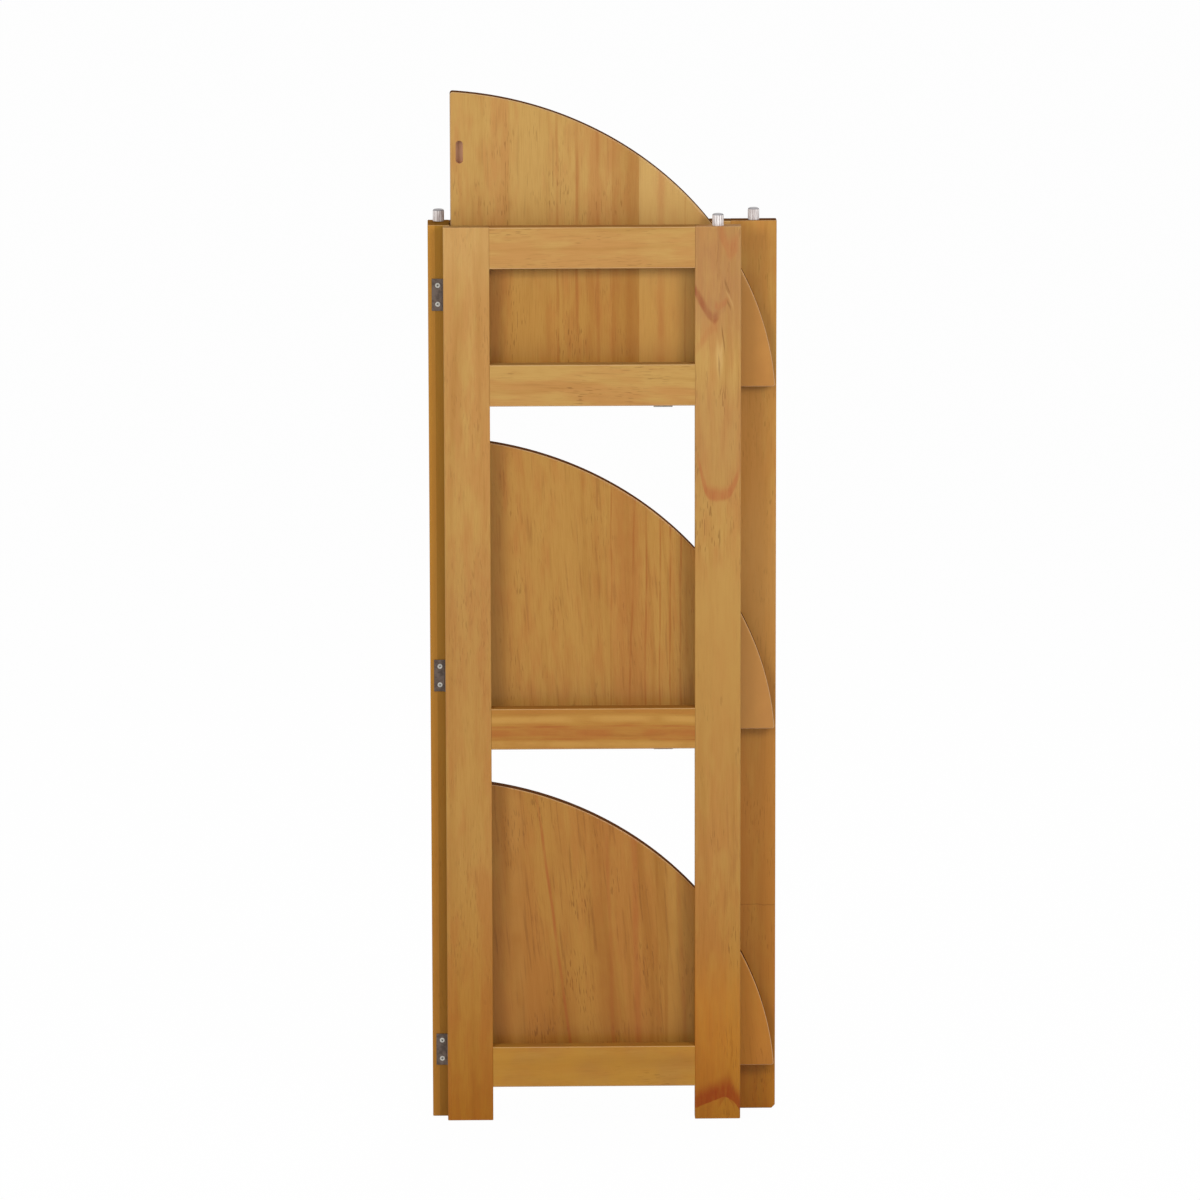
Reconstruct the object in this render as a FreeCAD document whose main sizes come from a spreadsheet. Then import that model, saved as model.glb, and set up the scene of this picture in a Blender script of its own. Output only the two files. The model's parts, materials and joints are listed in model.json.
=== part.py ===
import FreeCAD, Part
import math
import os
import Sketcher

# Folding corner bookcase, folded flat and standing on its feet. Millimetres, +Z up.
# X runs from the corner post to the free edges, and the folded front frame lies towards -Y.
# The origin is on the floor, under the middle of the folded unit.

doc = FreeCAD.newDocument("FoldingBookcase")
sizes = doc.addObject("Spreadsheet::Sheet", "Sizes")

DIMENSIONS = (
    # the two ladder frames and the corner post
    ("unit_width", 368, "corner post's outer side to the rear frame's free edge"),
    ("unit_height", 965, "floor to the top of the frames"),
    ("front_width", 313, "width of the swinging front frame"),
    ("board_thick", 16, "thickness of stiles and rails"),
    ("stile_width", 48.5, "width of a stile"),
    ("rail_width", 44.5, "height of a rail"),
    ("foot_height", 36.5, "floor to the lowest rail"),
    ("shelf_pitch", 369, "height from one shelf rail to the next"),
    ("post_width", 23, "corner post, along X"),
    ("post_depth", 40, "corner post, along Y"),
    ("fold_gap", 4, "folded front frame to the corner post"),
    ("edge_round", 1.5, "eased long edges"),
    ("joint_round", 0.8, "eased edges at joints and board ends"),
    ("foot_bevel", 4, "bevelled outer corner of the rear stile's foot"),
    # shelves, measured on the folded shelf
    ("shelf_thick", 17, "thickness of a shelf"),
    ("shelf_gap", 1, "corner post to the shelf's straight side"),
    ("shelf_rise", 15.5, "lower edge of the rail to the hinged edge of the shelf"),
    ("shelf_back_gap", 0.5, "folded shelf to the rear frame"),
    ("shelf_rear_setback", 1, "rear frame's free edge to the shelf's curve"),
    ("shelf_front_setback", 17.3, "open front frame's free edge to the shelf's curve"),
    ("shelf_round", 2, "eased curved edge"),
    ("corner_round", 3, "rounded tips of the curve"),
    ("slot_width", 7.6, "locking slot in the shelf's underside"),
    ("slot_length", 24, "locking slot, from end to end"),
    ("slot_depth", 8, "locking slot, blind"),
    ("slot_side", 9.8, "shelf's straight side to the middle of the slot"),
    ("slot_reach", 251, "shelf's hinged edge to the middle of the slot"),
    # hinges between the post and the front frame
    ("fold_leaf_height", 34, "length of a fold hinge"),
    ("fold_leaf_width", 12.7, "outer edge of a leaf to the pin"),
    ("fold_leaf_thick", 1, "leaf of a fold hinge"),
    ("fold_knuckle_radius", 1.7, "knuckle of a fold hinge"),
    ("fold_pin_radius", 0.8, "pin of a fold hinge"),
    ("fold_pin_inset", 0.7, "front frame's edge to the pin, along X"),
    ("fold_hinge_margin", 74, "middle of an end hinge to the end of the frame"),
    ("fold_screw_pitch", 20, "screws of one leaf"),
    ("fold_screw_inset", 6.2, "outer edge of a leaf to its screws"),
    # hinges between the rear rails and the shelves
    ("shelf_leaf_length", 50, "length of a shelf hinge"),
    ("shelf_leaf_width", 11, "outer edge of a leaf to the pin"),
    ("shelf_leaf_thick", 1.2, "leaf of a shelf hinge"),
    ("shelf_knuckle_radius", 2.5, "knuckle of a shelf hinge"),
    ("shelf_pin_radius", 1.2, "pin of a shelf hinge"),
    ("shelf_pin_standoff", 2.8, "pin to the wood that carries a leaf"),
    ("shelf_hinge_start", 37, "shelf's straight side to its first hinge"),
    ("shelf_hinge_end", 20.5, "second shelf hinge to the end of the rear rail"),
    ("shelf_screw_pitch", 30, "screws of one leaf"),
    ("shelf_screw_inset", 4.2, "outer edge of a leaf to its screws"),
    # play
    ("knuckle_gap", 0.2, "between knuckles, along the pin"),
    ("swing_gap", 0.3, "between a knuckle and the other leaf"),
    ("running_play", 0.05, "pin in the turning leaf, on the radius"),
    ("let_in_play", 0.1, "leaf in its recess"),
    # countersunk screws
    ("screw_radius", 1.7, "shank"),
    ("head_radius", 2.6, "head, at the surface"),
    ("head_depth", 0.9, "conical part of the head"),
    ("screw_length", 12, "whole screw"),
    ("screw_play", 0.05, "screw in a metal leaf, on the radius"),
    # stacking dowels on top and their sockets in the feet
    ("dowel_radius", 6, "fluted dowel"),
    ("dowel_stand", 12.5, "height above the frame"),
    ("dowel_seat", 15, "depth glued into the wood"),
    ("dowel_shoulder", 0.2, "step above the glued end, on the radius"),
    ("dowel_bevel", 1.2, "bevelled glued end"),
    ("dowel_round", 2.2, "rounded upper end"),
    ("flute_count", 14, "flutes around a dowel"),
    ("flute_radius", 0.3, "one flute"),
    ("socket_play", 0.25, "dowel in a socket, on the radius"),
    ("socket_spare", 1.5, "depth beyond the dowel"),
    # brackets on the front frame that carry and lock the lowered shelves
    ("bracket_width", 20, "strip, along the frame"),
    ("bracket_thick", 2, "strip, thickness"),
    ("bracket_leg", 34, "height of the screwed leg"),
    ("bracket_play", 0.3, "lowered shelf above the arm"),
    ("tongue_rise", 6, "tongue inside the slot"),
    ("bend_radius", 1, "inside of a bend"),
    ("bracket_screw_low", 14, "foot of the leg to the lower screw"),
    ("bracket_screw_pitch", 13, "lower screw to the upper screw"),
)

for row, (alias, number, meaning) in enumerate(DIMENSIONS, start=1):
    sizes.set(f"A{row}", alias)
    sizes.set(f"B{row}", str(number))
    sizes.set(f"C{row}", meaning)
    sizes.setAlias(f"B{row}", alias)
doc.recompute()

# Places that several pieces share, as expressions over the sheet.
LEFT = "(-Sizes.unit_width / 2)"
DEPTH = "(Sizes.board_thick + Sizes.fold_gap + Sizes.post_depth)"
FRONT_Y = f"(-{DEPTH} / 2)"
FRAME_X = f"({LEFT} + Sizes.board_thick)"
FRAME_BACK_Y = f"({FRONT_Y} + Sizes.board_thick)"
POST_Y = f"({FRAME_BACK_Y} + Sizes.fold_gap)"
REAR_Y = f"({POST_Y} + Sizes.post_depth - Sizes.board_thick)"
RAIL_X = f"({LEFT} + Sizes.post_width)"
FRONT_RAIL = "(Sizes.front_width - 2 * Sizes.stile_width)"
REAR_RAIL = "(Sizes.unit_width - Sizes.post_width - Sizes.stile_width)"
RAIL_HEIGHTS = {
    "lower": "Sizes.foot_height",
    "middle": "(Sizes.foot_height + Sizes.shelf_pitch)",
    "upper": "(Sizes.foot_height + 2 * Sizes.shelf_pitch)",
    "top": "(Sizes.unit_height - Sizes.rail_width)",
}
SHELF_LEVELS = ("lower", "middle", "upper")

FOLD_PIN_X = f"({FRAME_X} + Sizes.fold_pin_inset)"
FOLD_PIN_Y = f"({FRAME_BACK_Y} + Sizes.fold_gap / 2)"
FOLD_HINGES = {
    "lower": "Sizes.fold_hinge_margin",
    "middle": "Sizes.unit_height / 2",
    "upper": "(Sizes.unit_height - Sizes.fold_hinge_margin)",
}

SHELF_X = f"({RAIL_X} + Sizes.shelf_gap)"
SHELF_PIN_Y = f"({REAR_Y} - Sizes.shelf_pin_standoff)"
SHELF_Y = f"({REAR_Y} - Sizes.shelf_back_gap - Sizes.shelf_thick)"
SHELF_HINGES = {
    "left": "Sizes.shelf_hinge_start",
    "right": f"({REAR_RAIL} - Sizes.shelf_gap - Sizes.shelf_hinge_end - Sizes.shelf_leaf_length)",
}

# The curve is a quarter of an ellipse about the outer corner of the post, seen with the unit open.
OPEN_DEPTH = "(Sizes.post_depth + Sizes.fold_gap / 2 + Sizes.front_width - Sizes.fold_pin_inset)"
CURVE_HALF_WIDTH = "(Sizes.unit_width - Sizes.shelf_rear_setback)"
CURVE_HALF_DEPTH = f"({OPEN_DEPTH} - Sizes.shelf_front_setback)"
CURVE_SIDE = "(Sizes.post_width + Sizes.shelf_gap)"
CURVE_BACK = "(Sizes.board_thick + 2 * Sizes.shelf_pin_standoff)"

# The tongue stands in the middle of the slot once the frame is open and the shelf is down.
TONGUE_REACH = (
    "(Sizes.fold_gap / 2 + Sizes.post_width + Sizes.shelf_gap + Sizes.slot_side"
    " - Sizes.board_thick - Sizes.fold_pin_inset)"
)
TONGUE_ALONG = (
    "(Sizes.fold_pin_inset + Sizes.board_thick - Sizes.fold_gap / 2 - Sizes.post_depth"
    " + 2 * Sizes.shelf_pin_standoff + Sizes.slot_reach)"
)
LOWERED_UNDERSIDE = "(Sizes.shelf_rise - Sizes.shelf_back_gap - Sizes.shelf_thick)"
ARM_Z = f"({LOWERED_UNDERSIDE} - Sizes.bracket_play - Sizes.bracket_thick)"

X, Y, Z = FreeCAD.Vector(1, 0, 0), FreeCAD.Vector(0, 1, 0), FreeCAD.Vector(0, 0, 1)
CLOSE = 1e-4  # two lengths or directions nearer than this are the same
FULL_TURN = 360
Con = Sketcher.Constraint
nodes = []


def number(expression):
    """The value that an expression over the sheet has now."""
    return float(sizes.evalExpression(expression))


def place(piece, x, y, z, axes=None):
    """Put a sub-part at x, y, z, with its own axes along the three given directions."""
    if axes:
        piece.Placement.Rotation = FreeCAD.Rotation(*axes, "XYZ")
    for letter, expression in zip("xyz", (x, y, z)):
        piece.setExpression(f"Placement.Base.{letter}", expression)
    nodes.append(piece)


def new_body(label):
    body = doc.addObject("PartDesign::Body", label)
    body.Label = label
    return body


def sketch_on(body, name, role, lift=None):
    """A sketch on one of the body's own origin planes, lifted along its normal."""
    sketch = body.newObject("Sketcher::SketchObject", name)
    plane = [item for item in body.Origin.OriginFeatures if item.Role == role][0]
    sketch.AttachmentSupport = [(plane, "")]
    sketch.MapMode = "FlatFace"
    if lift:
        sketch.setExpression("AttachmentOffset.Base.z", lift)
    return sketch


def dimension(sketch, constraint, name, expression):
    index = sketch.addConstraint(constraint)
    sketch.renameConstraint(index, name)
    sketch.setExpression(f"Constraints.{name}", expression)


def pin_point(sketch, shape, point, name, x, y):
    """Hold one point of a sketched shape at x, y from the sketch's origin."""
    for letter, kind, axis, expression in (("X", "DistanceX", -2, x), ("Y", "DistanceY", -1, y)):
        if expression == "0":
            sketch.addConstraint(Con("PointOnObject", shape, point, axis))
        else:
            bound = Con(kind, -1, 1, shape, point, number(expression))
            dimension(sketch, bound, name + letter, expression)


def rectangle(sketch, name, x, y, width, height):
    left, low = number(x), number(y)
    right, high = left + number(width), low + number(height)
    corners = [(left, low), (right, low), (right, high), (left, high)]
    points = [FreeCAD.Vector(a, b, 0) for a, b in corners]
    lines = [sketch.addGeometry(Part.LineSegment(points[i], points[(i + 1) % 4])) for i in range(4)]
    for i in range(4):
        sketch.addConstraint(Con("Coincident", lines[i], 2, lines[(i + 1) % 4], 1))
        sketch.addConstraint(Con("Horizontal" if i % 2 == 0 else "Vertical", lines[i]))
    pin_point(sketch, lines[0], 1, name, x, y)
    dimension(sketch, Con("DistanceX", lines[0], 1, lines[0], 2, right - left), name + "Width", width)
    dimension(sketch, Con("DistanceY", lines[1], 1, lines[1], 2, high - low), name + "Height", height)


def circles(sketch, centres, radius):
    first = None
    for count, (x, y) in enumerate(centres):
        middle = FreeCAD.Vector(number(x), number(y), 0)
        ring = sketch.addGeometry(Part.Circle(middle, Z, number(radius)))
        pin_point(sketch, ring, 3, f"Centre{count}", x, y)
        if first is None:
            first = ring
            dimension(sketch, Con("Radius", ring, number(radius)), "Radius", radius)
        else:
            sketch.addConstraint(Con("Equal", first, ring))


def slot(sketch, x, y, width, length):
    """An upright slot with round ends, about its middle."""
    middle, radius = FreeCAD.Vector(number(x), number(y), 0), number(width) / 2
    reach, side = Y * (number(length) / 2 - radius), X * radius
    ring = [
        sketch.addGeometry(shape)
        for shape in (
            Part.ArcOfCircle(Part.Circle(middle + reach, Z, radius), 0, math.pi),
            Part.LineSegment(middle + reach - side, middle - reach - side),
            Part.ArcOfCircle(Part.Circle(middle - reach, Z, radius), math.pi, 2 * math.pi),
            Part.LineSegment(middle - reach + side, middle + reach + side),
        )
    ]
    for i, part in enumerate(ring):
        sketch.addConstraint(Con("Tangent", part, 2, ring[(i + 1) % len(ring)], 1))
    upper, lower = ring[0], ring[2]
    sketch.addConstraint(Con("Equal", upper, lower))
    dimension(sketch, Con("Radius", upper, radius), "EndRadius", f"{width} / 2")
    pin_point(sketch, upper, 3, "UpperEnd", x, f"({y} + ({length} - {width}) / 2)")
    pin_point(sketch, lower, 3, "LowerEnd", x, f"({y} - ({length} - {width}) / 2)")


def outline(sketch, corners):
    """A closed outline of straight level and upright lines through the given corners."""
    points = [FreeCAD.Vector(number(x), number(y), 0) for x, y in corners]
    total = len(points)
    lines = [
        sketch.addGeometry(Part.LineSegment(points[i], points[(i + 1) % total])) for i in range(total)
    ]
    for i in range(total):
        level = abs(points[i].y - points[(i + 1) % total].y) < CLOSE
        sketch.addConstraint(Con("Coincident", lines[i], 2, lines[(i + 1) % total], 1))
        sketch.addConstraint(Con("Horizontal" if level else "Vertical", lines[i]))
    for i in range(0, total, 2):
        pin_point(sketch, lines[i], 1, f"Corner{i}", *corners[i])


def pad(body, sketch, name, length, back=False, taper=None):
    feature = body.newObject("PartDesign::Pad", name)
    feature.Profile = sketch
    feature.Reversed = back
    feature.setExpression("Length", length)
    if taper:
        feature.setExpression("TaperAngle", taper)
    doc.recompute()
    return feature


def pocket(body, sketch, name, depth=None, back=False):
    """Cut a sketch to a depth, or right through on both sides where no depth is given."""
    before = body.Shape.Volume
    feature = body.newObject("PartDesign::Pocket", name)
    feature.Profile = sketch
    if depth:
        feature.Reversed = back
        feature.setExpression("Length", depth)
    else:
        feature.Type = "ThroughAll"
        feature.Midplane = True
    doc.recompute()
    if body.Shape.Volume >= before:
        raise RuntimeError(f"{body.Label}: {name} cuts nothing")
    return feature


def ease(body, name, radius, wanted, kind="Fillet"):
    """Round or bevel the edges that the test picks out."""
    edges = [f"Edge{i}" for i, edge in enumerate(body.Shape.Edges, start=1) if wanted(edge)]
    if not edges:
        raise RuntimeError(f"{body.Label}: {name} found no edge")
    base = body.Tip
    feature = body.newObject(f"PartDesign::{kind}", name)
    feature.Base = (base, edges)
    feature.setExpression("Radius" if kind == "Fillet" else "Size", radius)
    doc.recompute()
    if "Invalid" in feature.State:
        raise RuntimeError(f"{body.Label}: {name} failed")
    return feature


def along(edge, direction):
    """True for a straight edge that runs in a direction."""
    if not isinstance(edge.Curve, Part.Line):
        return False
    return abs(abs(edge.Curve.Direction.dot(direction)) - 1) < CLOSE


def near(value, expression):
    return abs(value - number(expression)) < CLOSE


def is_ring(edge, radius):
    """True for a whole circle of a radius."""
    return isinstance(edge.Curve, Part.Circle) and edge.Closed and near(edge.Curve.Radius, radius)


# Boards


def upright(label, width, depth, joint_sides, foot_bevel=None):
    """A stile or post: a section pushed up, with finer rounds on the sides that take rails."""
    body = new_body(label)
    section = sketch_on(body, "Section", "XY_Plane")
    rectangle(section, "Board", "0", "0", width, depth)
    pad(body, section, "Board", "Sizes.unit_height")

    def at_foot_corner(edge):
        centre = edge.CenterOfMass
        return along(edge, Y) and near(centre.x, width) and near(centre.z, "0")

    def at_joint(edge):
        return any(near(edge.CenterOfMass.x, side) for side in joint_sides)

    def at_end(edge):
        ends = ("0", "Sizes.unit_height")
        return any(all(near(vertex.Z, end) for vertex in edge.Vertexes) for end in ends)

    if foot_bevel:
        ease(body, "BevelledFoot", foot_bevel, at_foot_corner, "Chamfer")
    ease(body, "EasedSides", "Sizes.edge_round", lambda e: along(e, Z) and not at_joint(e))
    if joint_sides:
        ease(body, "EasedJoint", "Sizes.joint_round", lambda e: along(e, Z) and at_joint(e))
    ease(body, "EasedEnds", "Sizes.joint_round", at_end)
    return body


def dowel_hole(body, x, y):
    """The hole in the top that a dowel is glued into."""
    mouth = sketch_on(body, "DowelHole", "XY_Plane", "Sizes.unit_height")
    circles(mouth, [(x, y)], GLUED_RADIUS)
    pocket(body, mouth, "DowelSeat", "Sizes.dowel_seat")


def socket(body, x, y):
    """The blind socket in the foot that takes the dowel of a unit below."""
    mouth = sketch_on(body, "SocketMouth", "XY_Plane")
    circles(mouth, [(x, y)], "(Sizes.dowel_radius + Sizes.socket_play)")
    pocket(body, mouth, "Socket", "(Sizes.dowel_stand + Sizes.socket_spare)", back=True)


def rail(label, length):
    body = new_body(label)
    section = sketch_on(body, "Section", "YZ_Plane")
    rectangle(section, "Board", "0", "0", "Sizes.board_thick", "Sizes.rail_width")
    pad(body, section, "Board", length)
    ease(body, "EasedEdges", "Sizes.edge_round", lambda e: along(e, X))
    return body


def pilot_holes(body, role, centres, depth, lift=None, back=False):
    drill = sketch_on(body, "PilotCentres", role, lift)
    circles(drill, centres, "Sizes.screw_radius")
    pocket(body, drill, "PilotHoles", depth, back)


def fold_screw_heights():
    """Heights of the screws of the three fold hinges, above the floor."""
    return [
        f"({height} {sign} Sizes.fold_screw_pitch / 2)"
        for height in FOLD_HINGES.values()
        for sign in "-+"
    ]


def shelf_screw_places():
    """Places of the screws of one shelf's hinges, along its hinged edge."""
    middle = "Sizes.shelf_leaf_length / 2"
    return [
        f"({start} + {middle} {sign} Sizes.shelf_screw_pitch / 2)"
        for start in SHELF_HINGES.values()
        for sign in "-+"
    ]


FOLD_SCREW_DEPTH = "(Sizes.screw_length - Sizes.fold_leaf_thick)"
SHELF_SCREW_DEPTH = "(Sizes.screw_length - Sizes.shelf_leaf_thick)"
BRACKET_SCREW_DEPTH = "(Sizes.screw_length - Sizes.bracket_thick)"

# Screws in the post, in the front frame's edge and in the rear rails, from each board's corner.
POST_SCREW_X = (
    "(Sizes.board_thick + Sizes.fold_pin_inset - Sizes.fold_leaf_width + Sizes.fold_screw_inset)"
)
EDGE_SCREW_Y = (
    "(Sizes.board_thick + Sizes.fold_gap / 2 - Sizes.fold_leaf_width + Sizes.fold_screw_inset)"
)
RAIL_SCREW_Z = (
    "(Sizes.shelf_rise - Sizes.shelf_pin_standoff - Sizes.shelf_leaf_width + Sizes.shelf_screw_inset)"
)
SHELF_SCREW_Y = (
    "(Sizes.shelf_thick + Sizes.shelf_back_gap - Sizes.shelf_pin_standoff"
    " - Sizes.shelf_leaf_width + Sizes.shelf_screw_inset)"
)
BRACKET_SCREW_ZS = (
    f"({ARM_Z} + Sizes.bracket_screw_low)",
    f"({ARM_Z} + Sizes.bracket_screw_low + Sizes.bracket_screw_pitch)",
)
GLUED_RADIUS = "(Sizes.dowel_radius - Sizes.dowel_shoulder)"
POST_DOWEL_X = "Sizes.post_width / 2"
POST_DOWEL_Y = "(Sizes.post_depth - Sizes.board_thick / 2)"
STILE_DOWEL_X = "Sizes.stile_width / 2"
STILE_DOWEL_Y = "Sizes.board_thick / 2"

post = upright("corner_post", "Sizes.post_width", "Sizes.post_depth", ())
dowel_hole(post, POST_DOWEL_X, POST_DOWEL_Y)
socket(post, POST_DOWEL_X, POST_DOWEL_Y)
pilot_holes(post, "XZ_Plane", [(POST_SCREW_X, z) for z in fold_screw_heights()], FOLD_SCREW_DEPTH)
place(post, LEFT, POST_Y, "0")

rear_stile = upright(
    "rear_stile", "Sizes.stile_width", "Sizes.board_thick", ("0",), "Sizes.foot_bevel"
)
dowel_hole(rear_stile, STILE_DOWEL_X, STILE_DOWEL_Y)
socket(rear_stile, STILE_DOWEL_X, STILE_DOWEL_Y)
place(rear_stile, f"(-{LEFT} - Sizes.stile_width)", REAR_Y, "0")

front_free_stile = upright(
    "front_free_stile", "Sizes.stile_width", "Sizes.board_thick", ("0",)
)
dowel_hole(front_free_stile, STILE_DOWEL_X, STILE_DOWEL_Y)
socket(front_free_stile, STILE_DOWEL_X, STILE_DOWEL_Y)
place(front_free_stile, f"({FRAME_X} + Sizes.front_width - Sizes.stile_width)", FRONT_Y, "0")

front_hinge_stile = upright(
    "front_hinge_stile", "Sizes.stile_width", "Sizes.board_thick", ("Sizes.stile_width",)
)
recess_width = "(Sizes.fold_leaf_width - Sizes.fold_gap / 2 + Sizes.let_in_play)"
recesses = sketch_on(front_hinge_stile, "LeafRecesses", "YZ_Plane")
for level, height in FOLD_HINGES.items():
    rectangle(
        recesses,
        level.capitalize(),
        f"(Sizes.board_thick - {recess_width})",
        f"({height} - Sizes.fold_leaf_height / 2 - Sizes.let_in_play)",
        recess_width,
        "(Sizes.fold_leaf_height + 2 * Sizes.let_in_play)",
    )
pocket(front_hinge_stile, recesses, "LetIn", "Sizes.fold_leaf_thick", back=True)
pilot_holes(
    front_hinge_stile,
    "YZ_Plane",
    [(EDGE_SCREW_Y, z) for z in fold_screw_heights()],
    "Sizes.screw_length",
    back=True,
)
place(front_hinge_stile, FRAME_X, FRONT_Y, "0")

for level, height in RAIL_HEIGHTS.items():
    rear_rail = rail(f"rear_rail_{level}", REAR_RAIL)
    front_rail = rail(f"front_rail_{level}", FRONT_RAIL)
    if level in SHELF_LEVELS:
        pilot_holes(
            rear_rail,
            "XZ_Plane",
            [(f"(Sizes.shelf_gap + {x})", RAIL_SCREW_Z) for x in shelf_screw_places()],
            SHELF_SCREW_DEPTH,
        )
        pilot_holes(
            front_rail,
            "XZ_Plane",
            [(f"({TONGUE_ALONG} - Sizes.stile_width)", z) for z in BRACKET_SCREW_ZS],
            BRACKET_SCREW_DEPTH,
            lift="(-Sizes.board_thick)",
            back=True,
        )
    place(rear_rail, RAIL_X, REAR_Y, height)
    place(front_rail, f"({FRAME_X} + Sizes.stile_width)", FRONT_Y, height)


# Stacking dowels


def stacking_dowel(label, x, y):
    """A fluted dowel with a round top. Its shoulder rests on the wood that it is glued into."""
    body = new_body(label)
    glued = sketch_on(body, "GluedSection", "XY_Plane")
    circles(glued, [("0", "0")], GLUED_RADIUS)
    pad(body, glued, "GluedEnd", "Sizes.dowel_seat")
    standing = sketch_on(body, "StandingSection", "XY_Plane", "Sizes.dowel_seat")
    circles(standing, [("0", "0")], "Sizes.dowel_radius")
    pad(body, standing, "StandingEnd", "Sizes.dowel_stand")

    def at_foot(edge):
        return is_ring(edge, GLUED_RADIUS) and near(edge.CenterOfMass.z, "0")

    def at_top(edge):
        return is_ring(edge, "Sizes.dowel_radius") and not near(edge.CenterOfMass.z, "Sizes.dowel_seat")

    ease(body, "BevelledFoot", "Sizes.dowel_bevel", at_foot, "Chamfer")
    ease(body, "RoundedTop", "Sizes.dowel_round", at_top)
    groove = sketch_on(body, "FluteSection", "XY_Plane")
    circles(groove, [("Sizes.dowel_radius", "0")], "Sizes.flute_radius")
    flute = pocket(body, groove, "Flute")
    ring = body.newObject("PartDesign::PolarPattern", "Flutes")
    ring.Originals = [flute]
    axis = [item for item in body.Origin.OriginFeatures if item.Role == "Z_Axis"][0]
    ring.Axis = (axis, [""])
    ring.Angle = FULL_TURN
    ring.setExpression("Occurrences", "Sizes.flute_count")
    body.Tip = ring
    place(body, x, y, "(Sizes.unit_height - Sizes.dowel_seat)")


FREE_STILE_X = f"({FRAME_X} + Sizes.front_width - Sizes.stile_width / 2)"
stacking_dowel("stacking_dowel_post", f"({LEFT} + {POST_DOWEL_X})", f"({POST_Y} + {POST_DOWEL_Y})")
stacking_dowel("stacking_dowel_rear", f"(-{LEFT} - {STILE_DOWEL_X})", f"({REAR_Y} + {STILE_DOWEL_Y})")
stacking_dowel("stacking_dowel_front", FREE_STILE_X, f"({FRONT_Y} + {STILE_DOWEL_Y})")


# Shelves, folded upright against the rear frame


def shelf(label):
    """A board under an elliptical front, hinged on its lower edge, with a blind slot."""
    body = new_body(label)
    sketch = sketch_on(body, "Outline", "XZ_Plane")
    half_width, half_depth = number(CURVE_HALF_WIDTH), number(CURVE_HALF_DEPTH)
    side, back = number(CURVE_SIDE), number(CURVE_BACK)
    middle = FreeCAD.Vector(-side, -back, 0)
    tip_angle, top_angle = math.asin(back / half_depth), math.acos(side / half_width)
    if half_width > half_depth:
        vertices, turn, lying = (X * half_width, Y * half_depth), 0, ("Horizontal", "Vertical")
    else:
        vertices, turn, lying = (Y * half_depth, X * -half_width), math.pi / 2, ("Vertical", "Horizontal")
    ellipse = Part.Ellipse(*[middle + vertex for vertex in vertices], middle)
    curve = sketch.addGeometry(Part.ArcOfEllipse(ellipse, tip_angle - turn, top_angle - turn))
    sketch.exposeInternalGeometry(curve)
    longer, shorter = curve + 1, curve + 2
    tip = X * (half_width * math.cos(tip_angle) - side)
    top = Y * (half_depth * math.sin(top_angle) - back)
    hinged = sketch.addGeometry(Part.LineSegment(FreeCAD.Vector(), tip))
    straight = sketch.addGeometry(Part.LineSegment(top, FreeCAD.Vector()))
    sketch.addConstraint(Con("Coincident", hinged, 1, -1, 1))
    sketch.addConstraint(Con("Coincident", straight, 2, -1, 1))
    sketch.addConstraint(Con("Horizontal", hinged))
    sketch.addConstraint(Con("Vertical", straight))
    sketch.addConstraint(Con("Coincident", hinged, 2, curve, 1))
    sketch.addConstraint(Con("Coincident", curve, 2, straight, 1))
    sketch.addConstraint(Con(lying[0], longer))
    spans = {"Horizontal": CURVE_HALF_WIDTH, "Vertical": CURVE_HALF_DEPTH}
    for axis, name, direction in ((longer, "LongAxis", lying[0]), (shorter, "ShortAxis", lying[1])):
        span = f"2 * {spans[direction]}"
        dimension(sketch, Con("Distance", axis, number(span)), name, span)
    dimension(sketch, Con("DistanceX", curve, 3, -1, 1, side), "CurveSide", CURVE_SIDE)
    dimension(sketch, Con("DistanceY", curve, 3, -1, 1, back), "CurveBack", CURVE_BACK)
    pad(body, sketch, "Board", "Sizes.shelf_thick", back=True)

    def at_tip(edge):
        centre = edge.CenterOfMass
        return along(edge, Y) and near(min(centre.x, centre.z), "0") and centre.x + centre.z > CLOSE

    def on_curve(edge):
        level = near(edge.Vertexes[0].Y, "0") or near(edge.Vertexes[0].Y, "Sizes.shelf_thick")
        return level and not any(along(edge, direction) for direction in (X, Y, Z))

    ease(body, "RoundedTips", "Sizes.corner_round", at_tip)
    ease(body, "EasedCurve", "Sizes.shelf_round", on_curve)
    routed = sketch_on(body, "SlotOutline", "XZ_Plane")
    slot(routed, "Sizes.slot_side", "Sizes.slot_reach", "Sizes.slot_width", "Sizes.slot_length")
    pocket(body, routed, "Slot", "Sizes.slot_depth")
    centres = [(x, SHELF_SCREW_Y) for x in shelf_screw_places()]
    pilot_holes(body, "XY_Plane", centres, SHELF_SCREW_DEPTH, back=True)
    return body


def shelf_edge_z(level):
    return f"({RAIL_HEIGHTS[level]} + Sizes.shelf_rise)"


for level in SHELF_LEVELS:
    place(shelf(f"shelf_{level}"), SHELF_X, SHELF_Y, shelf_edge_z(level))


# Hinges

FOLD = {
    "width": "Sizes.fold_leaf_width",
    "length": "Sizes.fold_leaf_height",
    "thick": "Sizes.fold_leaf_thick",
    "knuckle": "Sizes.fold_knuckle_radius",
    "pin": "Sizes.fold_pin_radius",
    "screw_inset": "Sizes.fold_screw_inset",
    "screw_pitch": "Sizes.fold_screw_pitch",
}
SHELF = {
    "width": "Sizes.shelf_leaf_width",
    "length": "Sizes.shelf_leaf_length",
    "thick": "Sizes.shelf_leaf_thick",
    "knuckle": "Sizes.shelf_knuckle_radius",
    "pin": "Sizes.shelf_pin_radius",
    "screw_inset": "Sizes.shelf_screw_inset",
    "screw_pitch": "Sizes.shelf_screw_pitch",
}
KNUCKLES = 5


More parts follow.
